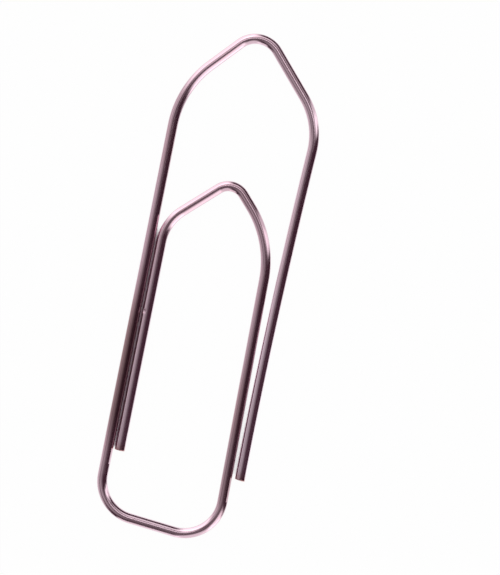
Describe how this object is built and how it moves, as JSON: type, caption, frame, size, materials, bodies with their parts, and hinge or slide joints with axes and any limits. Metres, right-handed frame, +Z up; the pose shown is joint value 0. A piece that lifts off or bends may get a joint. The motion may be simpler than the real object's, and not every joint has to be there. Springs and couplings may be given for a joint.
{
  "type": "paper clip",
  "caption": "Flat paper clip of bent round steel wire, with a pointed outer loop and a springy pointed tongue that grips sheets of paper between them.",
  "frame": {"origin": "middle of the clip's outline, on the surface that it lies on", "axes": "+X across the clip from the left leg to the free leg, +Y along it from the spine to the points, +Z up from the surface"},
  "size_m": [0.0148, 0.05, 0.001],
  "materials": {
    "plated_wire": "bright drawn and plated steel wire, lightly rubbed at the bends"
  },
  "bodies": {
    "outer_loop": {"right_roof_upper": "plated_wire", "outer_tip": "plated_wire", "left_roof": "plated_wire", "left_shoulder": "plated_wire", "left_leg": "plated_wire", "left_corner": "plated_wire", "spine_left": "plated_wire"},
    "outer_arm": {"right_roof_lower": "plated_wire", "right_shoulder": "plated_wire", "outer_free_leg": "plated_wire"},
    "tongue": {"spine_right": "plated_wire", "right_corner": "plated_wire", "tongue_leg": "plated_wire", "tongue_right_shoulder": "plated_wire", "tongue_right_roof": "plated_wire", "tongue_tip": "plated_wire", "tongue_left_roof_upper": "plated_wire"},
    "tongue_arm": {"tongue_left_roof_lower": "plated_wire", "tongue_left_shoulder": "plated_wire", "tongue_free_leg": "plated_wire"}
  },
  "joints": [
    {"name": "tongue_lift", "type": "hinge", "parent": "outer_loop", "child": "tongue", "pos_m": [-0.00126, -0.02428, 0.0005], "axis": [0.9957, -0.0924, 0], "range_deg": [0, 12], "stiffness_Nm_per_rad": 0.2},
    {"name": "outer_arm_flex", "type": "hinge", "parent": "outer_loop", "child": "outer_arm", "pos_m": [0.00341, 0.02172, 0.0005], "axis": [-0.6639, 0.7478, 0], "range_deg": [0, 8], "stiffness_Nm_per_rad": 0.3},
    {"name": "tongue_arm_flex", "type": "hinge", "parent": "tongue", "child": "tongue_arm", "pos_m": [-0.00284, 0.0079, 0.0005], "axis": [-0.7314, -0.682, 0], "range_deg": [0, 8], "stiffness_Nm_per_rad": 0.45}
  ]
}
